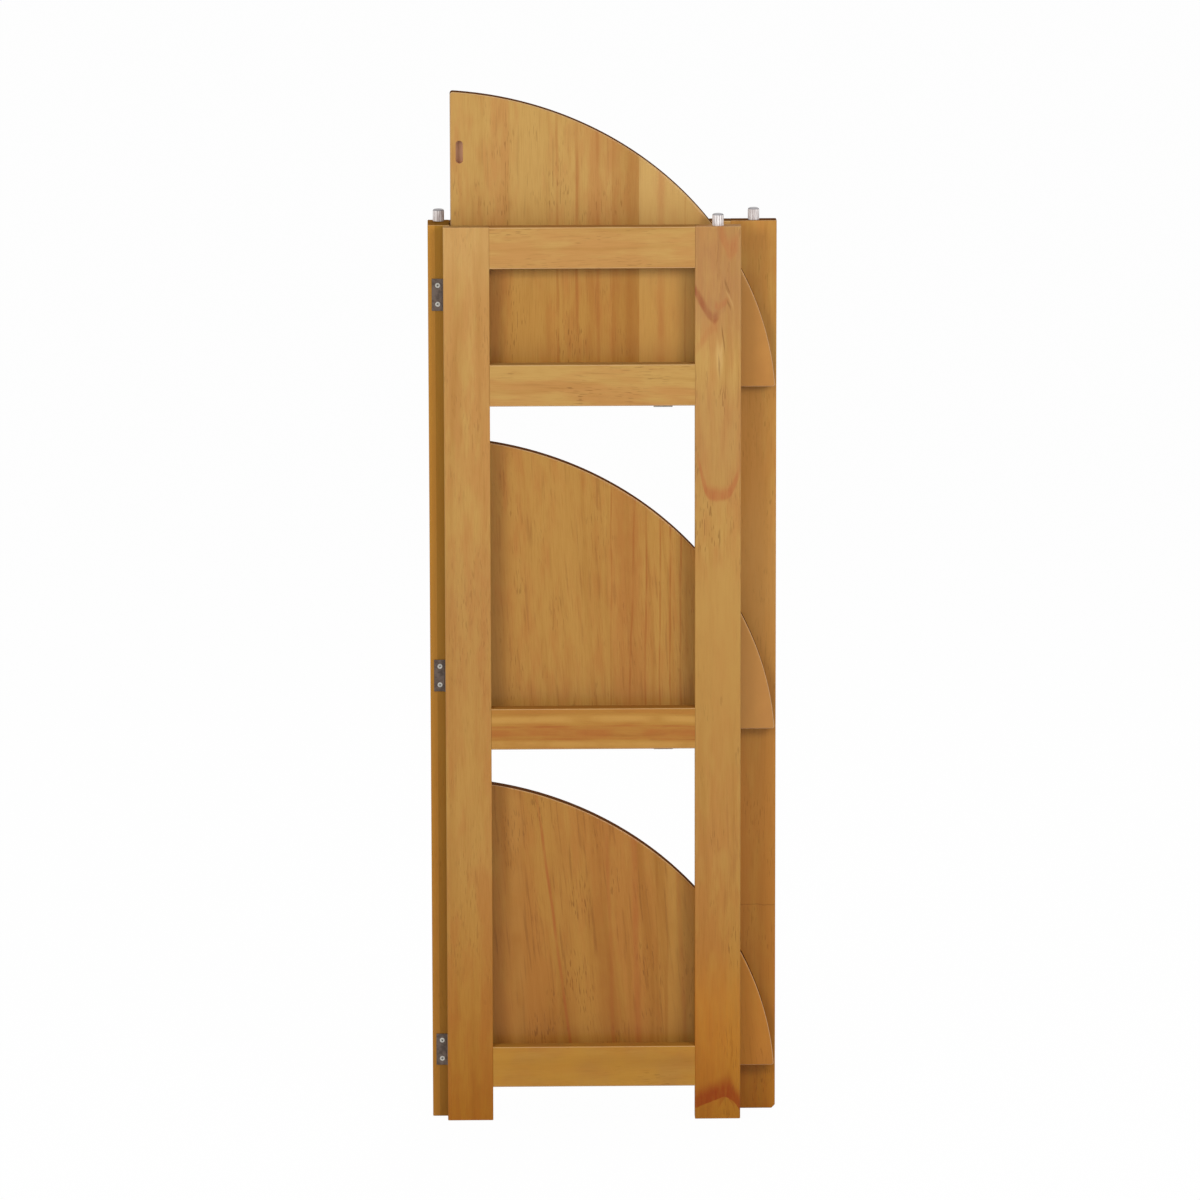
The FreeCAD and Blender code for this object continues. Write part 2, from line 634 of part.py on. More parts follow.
def hinge_leaf(label, hinge, axis_height, turning):
    """One leaf: X from its outer edge to the pin, Y along the pin, Z away from the wood.

    The fixed leaf has the end and middle knuckles, and the turning leaf those between.
    """
    body = new_body(label)
    plate = sketch_on(body, "PlateOutline", "XY_Plane")
    rectangle(plate, "Plate", "0", "0", hinge["width"], hinge["length"])
    pad(body, plate, "Plate", hinge["thick"])
    barrel = sketch_on(body, "BarrelSection", "XZ_Plane")
    circles(barrel, [(hinge["width"], axis_height)], hinge["knuckle"])
    pad(body, barrel, "Barrel", hinge["length"], back=True)
    notches = sketch_on(body, "NotchOutlines", "XY_Plane")
    room = f"({hinge['knuckle']} + Sizes.swing_gap)"
    for place_in_row in range(0 if turning else 1, KNUCKLES, 2):
        low, high = place_in_row, place_in_row + 1
        start, stop = f"{hinge['length']} * {low} / {KNUCKLES}", f"{hinge['length']} * {high} / {KNUCKLES}"
        low_end = "0" if low == 0 else f"({start} - Sizes.knuckle_gap / 2)"
        high_end = f"({hinge['length']})" if high == KNUCKLES else f"({stop} + Sizes.knuckle_gap / 2)"
        rectangle(
            notches,
            f"Notch{low}",
            f"({hinge['width']} - {room})",
            low_end,
            f"(2 * {room})",
            f"({high_end} - {low_end})",
        )
    pocket(body, notches, "Notches")
    bore = sketch_on(body, "BoreSection", "XZ_Plane")
    play = " + Sizes.running_play" if turning else ""
    circles(bore, [(hinge["width"], axis_height)], f"({hinge['pin']}{play})")
    pocket(body, bore, "PinBore")
    holes = sketch_on(body, "ScrewCentres", "XY_Plane")
    hole_radius = "(Sizes.screw_radius + Sizes.screw_play)"
    rows = [f"({hinge['length']} / 2 {sign} {hinge['screw_pitch']} / 2)" for sign in "-+"]
    circles(holes, [(hinge["screw_inset"], y) for y in rows], hole_radius)
    pocket(body, holes, "ScrewHoles")

    def at_surface(edge):
        return is_ring(edge, hole_radius) and near(edge.CenterOfMass.z, hinge["thick"])

    ease(body, "Countersinks", "Sizes.head_depth", at_surface, "Chamfer")
    return body


def hinge_pin(label, hinge, x, y, z, axes=None):
    pin = doc.addObject("Part::Cylinder", label)
    pin.Label = label
    pin.setExpression("Radius", hinge["pin"])
    pin.setExpression("Height", hinge["length"])
    place(pin, x, y, z, axes)


for level, height in FOLD_HINGES.items():
    low_end = f"({height} - Sizes.fold_leaf_height / 2)"
    high_end = f"({height} + Sizes.fold_leaf_height / 2)"
    post_leaf = hinge_leaf(f"fold_hinge_{level}_post_leaf", FOLD, "Sizes.fold_gap / 2", False)
    place(post_leaf, f"({FOLD_PIN_X} - Sizes.fold_leaf_width)", POST_Y, low_end, (X, Z, -Y))
    recessed_axis = "(Sizes.fold_leaf_thick - Sizes.fold_pin_inset)"
    frame_leaf = hinge_leaf(f"fold_hinge_{level}_frame_leaf", FOLD, recessed_axis, True)
    place(
        frame_leaf,
        f"({FRAME_X} + Sizes.fold_leaf_thick)",
        f"({FOLD_PIN_Y} - Sizes.fold_leaf_width)",
        high_end,
        (Y, -Z, -X),
    )
    hinge_pin(f"fold_hinge_{level}_pin", FOLD, FOLD_PIN_X, FOLD_PIN_Y, low_end)

for level in SHELF_LEVELS:
    pin_z = f"({shelf_edge_z(level)} - Sizes.shelf_pin_standoff)"
    for side, start in SHELF_HINGES.items():
        name = f"shelf_hinge_{level}_{side}"
        near_end = f"({SHELF_X} + {start})"
        far_end = f"({SHELF_X} + {start} + Sizes.shelf_leaf_length)"
        rail_leaf = hinge_leaf(f"{name}_rail_leaf", SHELF, "Sizes.shelf_pin_standoff", False)
        place(rail_leaf, far_end, REAR_Y, f"({pin_z} - Sizes.shelf_leaf_width)", (Z, -X, -Y))
        shelf_leaf = hinge_leaf(f"{name}_shelf_leaf", SHELF, "Sizes.shelf_pin_standoff", True)
        leaf_y = f"({SHELF_PIN_Y} - Sizes.shelf_leaf_width)"
        place(shelf_leaf, near_end, leaf_y, shelf_edge_z(level), (Y, X, -Z))
        hinge_pin(f"{name}_pin", SHELF, near_end, SHELF_PIN_Y, pin_z, (Y, Z, X))


# Brackets


def bracket(label):
    """A bent strip: a leg on the rail, an arm under the shelf and a tongue up into its slot."""
    body = new_body(label)
    profile = sketch_on(body, "Profile", "YZ_Plane")
    thick = "Sizes.bracket_thick"
    reach = f"({TONGUE_REACH} + {thick} / 2)"
    tongue_top = f"({thick} + Sizes.bracket_play + Sizes.tongue_rise)"
    corners = [
        ("0", "0"),
        (reach, "0"),
        (reach, tongue_top),
        (f"({reach} - {thick})", tongue_top),
        (f"({reach} - {thick})", thick),
        (thick, thick),
        (thick, "Sizes.bracket_leg"),
        ("0", "Sizes.bracket_leg"),
    ]
    outline(profile, corners)
    pad(body, profile, "Strip", "Sizes.bracket_width")

    def bend(edge, side, level):
        middle = edge.CenterOfMass
        return along(edge, X) and near(middle.y, side) and near(middle.z, level)

    def inside(edge):
        return bend(edge, thick, thick) or bend(edge, f"({reach} - {thick})", thick)

    def outside(edge):
        return bend(edge, "0", "0") or bend(edge, reach, "0")

    ease(body, "InnerBends", "Sizes.bend_radius", inside)
    ease(body, "OuterBends", f"(Sizes.bend_radius + {thick})", outside)
    holes = sketch_on(body, "ScrewCentres", "XZ_Plane")
    hole_radius = "(Sizes.screw_radius + Sizes.screw_play)"
    rows = ("Sizes.bracket_screw_low", "(Sizes.bracket_screw_low + Sizes.bracket_screw_pitch)")
    circles(holes, [("Sizes.bracket_width / 2", z) for z in rows], hole_radius)
    pocket(body, holes, "ScrewHoles")

    def at_surface(edge):
        return is_ring(edge, hole_radius) and near(edge.CenterOfMass.y, thick)

    ease(body, "Countersinks", "Sizes.head_depth", at_surface, "Chamfer")
    return body


for level in SHELF_LEVELS:
    place(
        bracket(f"shelf_bracket_{level}"),
        f"({FRAME_X} + {TONGUE_ALONG} - Sizes.bracket_width / 2)",
        FRAME_BACK_Y,
        f"({RAIL_HEIGHTS[level]} + {ARM_Z})",
    )


# Countersunk screws, one group for each set of leaves or brackets


def screws(label, role, centres, x, y, z, back=False):
    """A group of equal screws with their heads in one plane."""
    body = new_body(label)
    shanks = sketch_on(body, "ShankCentres", role)
    circles(shanks, centres, "Sizes.screw_radius")
    pad(body, shanks, "Shanks", "Sizes.screw_length", back)
    heads = sketch_on(body, "HeadCentres", role)
    circles(heads, centres, "Sizes.head_radius")
    taper = "(-atan((Sizes.head_radius - Sizes.screw_radius) / Sizes.head_depth))"
    pad(body, heads, "Heads", "Sizes.head_depth", back, taper)
    place(body, x, y, z)


screws(
    "fold_hinge_post_screws",
    "XZ_Plane",
    [(POST_SCREW_X, z) for z in fold_screw_heights()],
    LEFT,
    f"({POST_Y} - Sizes.fold_leaf_thick)",
    "0",
    back=True,
)
screws(
    "fold_hinge_frame_screws",
    "YZ_Plane",
    [(EDGE_SCREW_Y, z) for z in fold_screw_heights()],
    FRAME_X,
    FRONT_Y,
    "0",
)
screws(
    "shelf_hinge_rail_screws",
    "XZ_Plane",
    [
        (f"(Sizes.shelf_gap + {x})", f"({RAIL_HEIGHTS[level]} + {RAIL_SCREW_Z})")
        for level in SHELF_LEVELS
        for x in shelf_screw_places()
    ],
    RAIL_X,
    f"({REAR_Y} - Sizes.shelf_leaf_thick)",
    "0",
    back=True,
)
screws(
    "shelf_bracket_screws",
    "XZ_Plane",
    [(TONGUE_ALONG, f"({RAIL_HEIGHTS[level]} + {z})") for level in SHELF_LEVELS for z in BRACKET_SCREW_ZS],
    FRAME_X,
    f"({FRAME_BACK_Y} + Sizes.bracket_thick)",
    "0",
)
for level in SHELF_LEVELS:
    screws(
        f"shelf_hinge_{level}_shelf_screws",
        "XY_Plane",
        [(x, SHELF_SCREW_Y) for x in shelf_screw_places()],
        SHELF_X,
        SHELF_Y,
        f"({shelf_edge_z(level)} - Sizes.shelf_leaf_thick)",
    )

doc.recompute()
for item in doc.Objects:
    if "Invalid" in item.State or "Error" in item.State:
        raise RuntimeError(f"{item.Label} failed: {item.State}")
for node in nodes:
    if node.Shape.isNull() or not node.Shape.isValid():
        raise RuntimeError(f"{node.Label} has no valid shape")

os.makedirs("parts", exist_ok=True)
for node in nodes:
    node.Shape.exportStep(f"parts/{node.Label}.step")
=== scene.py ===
"""Folding corner bookcase in honey-coloured pine: finishes, screw heads, studio and camera."""

import json
import math
from dataclasses import dataclass

import bmesh
import bpy
from mathutils import Matrix, Vector

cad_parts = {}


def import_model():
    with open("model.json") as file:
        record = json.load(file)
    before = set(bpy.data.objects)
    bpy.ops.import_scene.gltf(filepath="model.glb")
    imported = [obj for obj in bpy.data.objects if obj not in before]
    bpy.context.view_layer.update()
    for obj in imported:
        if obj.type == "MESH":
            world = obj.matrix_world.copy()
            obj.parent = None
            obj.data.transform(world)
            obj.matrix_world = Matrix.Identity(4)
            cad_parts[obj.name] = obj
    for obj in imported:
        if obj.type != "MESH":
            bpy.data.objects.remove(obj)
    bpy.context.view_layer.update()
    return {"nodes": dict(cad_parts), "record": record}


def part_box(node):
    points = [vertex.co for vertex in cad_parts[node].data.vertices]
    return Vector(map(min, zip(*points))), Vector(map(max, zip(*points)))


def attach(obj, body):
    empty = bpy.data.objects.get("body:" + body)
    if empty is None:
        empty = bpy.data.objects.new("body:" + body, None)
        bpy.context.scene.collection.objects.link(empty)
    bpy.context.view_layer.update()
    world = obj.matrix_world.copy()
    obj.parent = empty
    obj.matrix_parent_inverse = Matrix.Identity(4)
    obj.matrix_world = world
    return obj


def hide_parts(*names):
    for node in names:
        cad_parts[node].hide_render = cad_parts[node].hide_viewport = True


MM = 0.001

# Linear colours of the finishes
YELLOW_HONEY = (0.545, 0.325, 0.097)
ORANGE_HONEY = (0.520, 0.265, 0.080)
DEEP_HONEY = (0.380, 0.175, 0.036)
BRIGHT_ORANGE = (0.720, 0.350, 0.060)
AMBER = (0.540, 0.270, 0.037)
STRAW_GOLD = (0.640, 0.380, 0.060)
OLIVE_PAINTED_SHADE = (0.370, 0.190, 0.010)
REDDISH = (0.450, 0.135, 0.048)
RUSSET = (0.400, 0.155, 0.040)
ROSE_BROWN = (0.400, 0.185, 0.072)
BRICK = (0.390, 0.095, 0.017)
KNOT_RED = (0.330, 0.105, 0.040)
PALE_SAPWOOD = (0.660, 0.430, 0.160)
ROSY_PAINTED_LIGHT = (0.620, 0.345, 0.120)
PORE = (0.170, 0.070, 0.018)
DARK_EDGE = (0.095, 0.034, 0.012)
ARRIS_PAINTED_HIGHLIGHT = (0.780, 0.520, 0.300)
BARE_POCKET = (0.600, 0.350, 0.210)
# Painted shade: multiplied in lower down, so that the wood gets darker and more orange
LOW_PAINTED_SHADE = (0.730, 0.470, 0.080)
RAW_BEECH = (0.930, 0.880, 0.860)
RAW_BEECH_LINE = (0.240, 0.160, 0.150)
RAW_BEECH_END = (0.230, 0.225, 0.240)
HINGE_PLATING = (0.155, 0.118, 0.098)
STRIP_PLATING = (0.420, 0.400, 0.370)
SCREW_PLATING = (0.520, 0.500, 0.450)
# Painted shade in the screw heads' cross recesses
RECESS_PAINTED_SHADE = (0.050, 0.045, 0.040)

GRAIN_UP = (0.0, 0.0, 1.0)
GRAIN_ALONG = (1.0, 0.0, 0.0)
SIDEWAYS = (0.0, 1.0, 0.0)

# Lacquer on the faces, on the cut edges where a board doesn't say, and its roughness
FACE_COAT = 0.28
EDGE_COAT = 0.08
COAT_ROUGHNESS = 0.26

# Depth of the painted shade at heights given as shares of its full height: darker and more orange
# lower down, and deeper on the shelves where they stand behind the front frame
PAINTED_SHADE_HEIGHT = 1.2
FRAME_PAINTED_SHADE = ((0.00, 0.95), (0.10, 0.75), (0.24, 0.40), (0.42, 0.33), (0.58, 0.18), (0.74, 0.0))
LOW_RAIL_PAINTED_SHADE = ((0.00, 0.55), (0.40, 0.62))
REAR_PAINTED_SHADE = ((0.00, 0.95), (0.10, 0.75), (0.30, 0.52), (0.55, 0.26), (0.80, 0.30))
POST_PAINTED_SHADE = ((0.00, 0.60), (0.30, 0.50), (0.80, 0.30))
TOP_SHELF_PAINTED_SHADE = ((0.64, 0.55), (0.74, 0.48), (0.84, 0.05))
MIDDLE_SHELF_PAINTED_SHADE = ((0.34, 0.46), (0.60, 0.42))
LOWER_SHELF_PAINTED_SHADE = ((0.04, 0.66), (0.30, 0.52))

# Scales of the wood's figure per metre, across the grain and along it
BROAD_TONE = (26.0, 1.4)
MOTTLE = (110.0, 24.0)
DUSKY_BANDS = (52.0, 2.6)
RING_WANDER = (11.0, 2.4)
RING_PATCHES = (13.0, 3.0)
FIBRES = (1000.0, 48.0)
PORE_DASHES = (900.0, 95.0)
PORE_GROUPS = (40.0, 15.0)
LONG_LINES = (430.0, 17.0)

# How far one unit of a board's seed shifts its figure
SEED_STEP = (1.37, 2.11, 0.73)

# How strongly the bands and the fibres are coloured, and how strong the painted highlight on the
# arrises is
DUSK_DEPTH = 0.45
FIBRE_DEPTH = 0.26
ARRIS_HIGHLIGHT_DEPTH = 0.5

# Growth lines: their slant through the board's depth, and their waver counted in gaps
RING_SLANT = 0.6
RING_WAVER = 5.0

# Height of the figure's bump
PINE_RELIEF = 0.4 * MM
BEECH_RELIEF = 0.3 * MM


class Link:
    """A shader node's output. Arithmetic on it adds Math nodes."""

    def __init__(self, nodes, socket):
        self.nodes = nodes
        self.socket = socket

    def math(self, operation, *operands):
        inputs = dict(enumerate(operands))
        return self.nodes.node("ShaderNodeMath", {"operation": operation}, inputs)

    def __add__(self, other):
        return self.math("ADD", self, other)

    def __sub__(self, other):
        return self.math("SUBTRACT", self, other)

    def __rsub__(self, other):
        return self.math("SUBTRACT", other, self)

    def __mul__(self, other):
        return self.math("MULTIPLY", self, other)

    def __truediv__(self, other):
        return self.math("DIVIDE", self, other)

    def __rtruediv__(self, other):
        return self.math("DIVIDE", other, self)

    def __abs__(self):
        return self.math("ABSOLUTE", self)

    __radd__ = __add__
    __rmul__ = __mul__


class Nodes:
    """The shader nodes of one finish."""

    def __init__(self, tree):
        self.tree = tree
        self.tree.nodes.clear()

    def node(self, kind, settings=None, inputs=None, output=0):
        """Adds a node: its settings, then the values or links of its sockets. Gives one output."""
        node = self.tree.nodes.new(kind)
        for name, value in (settings or {}).items():
            if name == "stops":
                set_stops(node.color_ramp, value)
            else:
                setattr(node, name, value)
        for key, value in (inputs or {}).items():
            socket = node.inputs[key]
            if isinstance(value, Link):
                self.tree.links.new(value.socket, socket)
            elif socket.type == "RGBA":
                socket.default_value = (*value, 1.0)
            else:
                socket.default_value = value
        return Link(self, node.outputs[output]) if node.outputs else None

    def place(self, scale=(1.0, 1.0, 1.0), shift=(0.0, 0.0, 0.0), tilt=0.0):
        """The piece's own coordinates, tilted in the board's face, stretched and shifted."""
        here = self.node("ShaderNodeTexCoord", output="Object")
        if tilt:
            turn = {"Vector": here, "Rotation": (0.0, tilt, 0.0)}
            here = self.node("ShaderNodeMapping", inputs=turn)
        inputs = {"Vector": here, "Location": shift, "Scale": scale}
        return self.node("ShaderNodeMapping", inputs=inputs)

    def coordinate(self, axis):
        here = self.node("ShaderNodeTexCoord", output="Object")
        return self.node("ShaderNodeSeparateXYZ", inputs={0: here}, output=axis)

    def noise(self, place, detail=2.0, roughness=0.5, distortion=0.0):
        inputs = {
            "Vector": place,
            "Scale": 1.0,
            "Detail": detail,
            "Roughness": roughness,
            "Distortion": distortion,
        }
        return self.node("ShaderNodeTexNoise", inputs=inputs)

    def smooth(self, value, low, high, start=0.0, end=1.0):
        """start below low, end above high, and an even curve between."""
        inputs = dict(enumerate((value, low, high, start, end)))
        return self.node("ShaderNodeMapRange", {"interpolation_type": "SMOOTHSTEP"}, inputs)

    def tint(self, amount, below, above, blend="MIX"):
        """One colour over another, by an amount from 0 to 1."""
        settings = {"data_type": "RGBA", "blend_type": blend}
        return self.node("ShaderNodeMix", settings, {0: amount, 6: below, 7: above}, 2)

    def facing(self, direction):
        """How far the surface faces along a direction, either way, from 0 to 1."""
        normal = self.node("ShaderNodeTexCoord", output="Normal")
        pair = {0: normal, 1: direction}
        return abs(self.node("ShaderNodeVectorMath", {"operation": "DOT_PRODUCT"}, pair, "Value"))

    def relief(self, height, strength, distance):
        inputs = {"Strength": strength, "Distance": distance, "Height": height}
        return self.node("ShaderNodeBump", inputs=inputs)


def set_stops(ramp, stops):
    while len(ramp.elements) < len(stops):
        ramp.elements.new(1.0)
    for element, (position, color) in zip(ramp.elements, stops):
        element.position = position
        element.color = (*color, 1.0)


class Finish(Nodes):
    """A material of its own, ended by one surface shader."""

    def __init__(self, name):
        self.material = bpy.data.materials.new(name)
        self.material.use_nodes = True
        super().__init__(self.material.node_tree)

    def surface(self, inputs):
        shader = self.node("ShaderNodeBsdfPrincipled", inputs=inputs)
        self.node("ShaderNodeOutputMaterial", inputs={"Surface": shader})
        return self.material


@dataclass
class Mark:
    """A growth mark: a band that bends at one point, seen from the front. Metres."""

    x: float
    z: float
    left_slope: float = 0.0
    right_slope: float = 0.0
    below: float = 0.004
    above: float = 0.004
    round: float = 0.002
    left_reach: float = 0.02
    right_reach: float = 0.02
    color: tuple = REDDISH
    strength: float = 0.6


@dataclass
class Streak:
    """A line along a board, mostly a growth line and on the shelves sometimes painted shade: its
    place across the grain at a point along it. Metres.
    """

    place: float
    along: float = 0.0
    lean: float = 0.0
    half_width: float = 0.0018
    color: tuple = REDDISH
    strength: float = 0.5


@dataclass
class Board:
    """How one board was sawn, glued up and stained, and what light and shade are painted on it."""

    grain: tuple
    seed: float
    tilt: float = 0.0
    # Painted shade by height: darker and more orange lower down
    stain: tuple = FRAME_PAINTED_SHADE
    orange: float = 0.0
    bands: float = 1.0
    rings: float = 0.3
    ring_gap: float = 0.011
    pores: float = 0.45
    lines: float = 0.15
    edge_axis: tuple = GRAIN_UP
    # Darkening of ends and edges: partly stain on end grain, partly painted shade
    edge_stain: float = 0.25
    edge_coat: float = EDGE_COAT
    slotted: bool = False
    planks: tuple = ()
    streaks: tuple = ()
    marks: tuple = ()


def lay_figure(finish, board):
    """The board's colour with its bands, growth lines, fibres and pores."""
    along = Vector(board.grain)
    across = Vector((1, 1, 1)) - along
    shift = tuple(board.seed * step for step in SEED_STEP)

    def figure(scales, **noise):
        scale = across * scales[0] + along * scales[1]
        return finish.noise(finish.place(tuple(scale), shift, board.tilt), **noise)

    mottle = figure(MOTTLE, detail=3.0)
    hue = figure(BROAD_TONE, distortion=0.2) * 0.55 + mottle * 0.45 + board.orange
    color = finish.tint(finish.smooth(hue, 0.41, 0.60), YELLOW_HONEY, ORANGE_HONEY)

    dusk = finish.smooth(figure(DUSKY_BANDS, detail=4.0, distortion=0.15), 0.46, 0.76)
    color = finish.tint(dusk * (DUSK_DEPTH * board.bands), color, DEEP_HONEY)

    sideways = finish.coordinate(2 if board.grain == GRAIN_ALONG else 0)
    wander = figure(RING_WANDER, detail=3.0, roughness=0.6) * RING_WAVER
    ring = (sideways + finish.coordinate(1) * RING_SLANT) / board.ring_gap + wander
    late = finish.smooth(ring.math("PINGPONG", ring, 1.0), 0.66, 0.97)
    there = finish.smooth(figure(RING_PATCHES), 0.40, 0.66)
    color = finish.tint(late * there * board.rings, color, DEEP_HONEY)

    fibres = figure(FIBRES)
    color = finish.tint(finish.smooth(fibres, 0.42, 0.78) * FIBRE_DEPTH, color, DEEP_HONEY)

    grouped = finish.smooth(figure(PORE_GROUPS), 0.47, 0.66)
    pores = finish.smooth(figure(PORE_DASHES, detail=0.0), 0.62, 0.74) * grouped
    color = finish.tint(pores * board.pores, color, PORE)

    long_lines = finish.smooth(figure(LONG_LINES, detail=1.0), 0.56, 0.72)
    lines = long_lines * finish.smooth(mottle, 0.38, 0.60)
    color = finish.tint(lines * board.lines, color, PORE)
    return color, fibres, pores


GLUE_LINE = 0.3 * MM


def lay_planks(finish, board, color):
    """Bands across the board between two places, each with its own colour and strength: glued-up
    planks, and on the post and beside the free stile painted shade and painted light.
    """
    x = finish.coordinate(0)
    for start, end, tone, amount in board.planks:
        inside = finish.smooth(x, start - GLUE_LINE, start + GLUE_LINE)
        inside = inside * finish.smooth(x, end - GLUE_LINE, end + GLUE_LINE, 1.0, 0.0)
        color = finish.tint(inside * amount, color, tone)
    return color


# Streaks: the scale and width of their bends, the scale of their strong patches, and how far
# the patches are shifted from one streak to the next
STREAK_WAVE = (10.0, 10.0, 10.0)
STREAK_WANDER = 5.0 * MM
STREAK_PATCHES = (22.0, 8.0, 22.0)
STREAK_STEP = 3.1


def lay_streaks(finish, board, color):
    """Wandering lines along the grain, each stronger in some patches than in others."""
    run, across = (0, 2) if board.grain == GRAIN_ALONG else (2, 0)
    along = finish.coordinate(run)
    wave = finish.noise(finish.place(STREAK_WAVE, (board.seed, 0.0, 0.0)), detail=3.0) - 0.5
    place = finish.coordinate(across) + wave * STREAK_WANDER
    for count, streak in enumerate(board.streaks):
        off = abs(place - streak.place - (along - streak.along) * streak.lean)
        band = finish.smooth(off, streak.half_width * 0.15, streak.half_width, 1.0, 0.0)
        spot = finish.place(STREAK_PATCHES, (count * STREAK_STEP, 0.0, board.seed))
        patch = finish.smooth(finish.noise(spot, detail=3.0), 0.30, 0.62, 0.25, 1.0)
        color = finish.tint(band * patch * streak.strength, color, streak.color)
    return color


# Marks: the scales of their ragged edges and of their fibres, and how far the edges stray
MARK_STIR = (60.0, 60.0, 26.0)
MARK_FIBRES = (420.0, 420.0, 40.0)
MARK_WANDER_UP = 7.0 * MM
MARK_WANDER_SIDEWAYS = 5.0 * MM


def lay_marks(finish, board, color):
    """Bands that bend once, with ragged edges and a fibrous colour."""
    place = finish.place(MARK_STIR, (board.seed, 0.0, 0.0))
    stir = finish.noise(place, detail=3.0) - 0.5
    fibrous = finish.noise(finish.place(MARK_FIBRES), detail=2.0) - 0.5
    z = finish.coordinate(2) + stir * MARK_WANDER_UP
    for mark in board.marks:
        off = finish.coordinate(0) + stir * MARK_WANDER_SIDEWAYS - mark.x
        bend = off.math("SQRT", off * off + mark.round * mark.round)
        right = (bend + off) * 0.5
        left = (bend - off) * 0.5
        level = z - mark.z - right * mark.right_slope - left * mark.left_slope
        band = finish.smooth(level, mark.above * 0.3, mark.above, 1.0, 0.0)
        band = band * finish.smooth(level, -mark.below, 0.0)
        reach = finish.smooth(right, mark.right_reach * 0.5, mark.right_reach, 1.0, 0.0)
        reach = reach * finish.smooth(left, mark.left_reach * 0.5, mark.left_reach, 1.0, 0.0)
        amount = band * reach * (fibrous + stir + 1.0) * mark.strength
        color = finish.tint(amount, color, mark.color)
    return color


def deepen(finish, board, color):
    """Painted shade: the colour gets darker and more orange the lower it is."""
    stops = [(height, (depth,) * 3) for height, depth in board.stain]
    height = finish.coordinate(2) / PAINTED_SHADE_HEIGHT
    depth = finish.node("ShaderNodeValToRGB", {"stops": stops}, {0: height})
    return finish.tint(depth, color, LOW_PAINTED_SHADE, "MULTIPLY")


# The slot's middle from the shelf's left edge and from its foot, how far the bare wood
# reaches from there, and the width over which it fades
SLOT_INSET = 10.9 * MM
SLOT_RISE = 248.9 * MM
SLOT_ACROSS = 7.0 * MM
SLOT_ALONG = 15.0 * MM
SLOT_RIM = 1.0 * MM

# Depths below the face at which the bare wood begins and is full
MOUTH_START = 0.1 * MM
MOUTH_END = 0.5 * MM


def bare_pocket(finish, shelf_name, color):
    """The blind slot, cut after the staining: bare from just inside the face."""
    low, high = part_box(shelf_name)
    off_x = abs(finish.coordinate(0) - (low.x + SLOT_INSET))
    off_z = abs(finish.coordinate(2) - (low.z + SLOT_RISE))
    y = finish.coordinate(1)
    inside = finish.smooth(off_x, SLOT_ACROSS, SLOT_ACROSS + SLOT_RIM, 1.0, 0.0)
    inside = inside * finish.smooth(off_z, SLOT_ALONG, SLOT_ALONG + SLOT_RIM, 1.0, 0.0)
    inside = inside * finish.smooth(y, low.y + MOUTH_START, low.y + MOUTH_END)
    inside = inside * finish.smooth(y, high.y - 2 * SLOT_RIM, high.y - SLOT_RIM, 1.0, 0.0)
    return finish.tint(inside, color, BARE_POCKET)


def stained_pine(name, board):
    """Satin pine under honey stain with painted shade lower down; its ends and edges darker, partly
    from the end grain's deeper stain and partly as painted shade; a painted highlight on its
    arrises.
    """
    finish = Finish(f"pine_{name}")
    color, fibres, pores = lay_figure(finish, board)
    if board.planks:
        color = lay_planks(finish, board, color)
    if board.streaks:
        color = lay_streaks(finish, board, color)
    if board.marks:
        color = lay_marks(finish, board, color)
    color = deepen(finish, board, color)
    edge = finish.facing(board.edge_axis)
    if board.edge_axis == SIDEWAYS:
        edge = 1.0 - edge
    # Painted highlight: a lighter line on the rounded arrises
    arris_highlight = finish.smooth(edge, 0.10, 0.30) * finish.smooth(edge, 0.40, 0.60, 1.0, 0.0)
    color = finish.tint(arris_highlight * ARRIS_HIGHLIGHT_DEPTH, color, ARRIS_PAINTED_HIGHLIGHT)
    # Ends and edges: partly the end grain's deeper stain, partly painted shade, which on the rails
    # also darkens their top and bottom faces
    cut = finish.smooth(edge, 0.50, 0.75)
    color = finish.tint(cut * board.edge_stain, color, DARK_EDGE)
    if board.slotted:
        color = bare_pocket(finish, name, color)
    return finish.surface(
        {
            "Base Color": color,
            "Roughness": finish.smooth(fibres, 0.3, 0.8, 0.46, 0.58),
            "Specular IOR Level": 0.0,
            "Normal": finish.relief(fibres * 0.4 - pores, 0.10, PINE_RELIEF),
            "Coat Weight": cut * (board.edge_coat - FACE_COAT) + FACE_COAT,
            "Coat Roughness": COAT_ROUGHNESS,
        }
    )


DOWEL_RADIUS = 6.0 * MM
FLUTE_FLOOR = DOWEL_RADIUS - 0.28 * MM
FLUTE_RIM = DOWEL_RADIUS - 0.08 * MM
BEECH_FIBRES = (900.0, 900.0, 60.0)
IN_PLAN = (1.0, 1.0, 0.0)


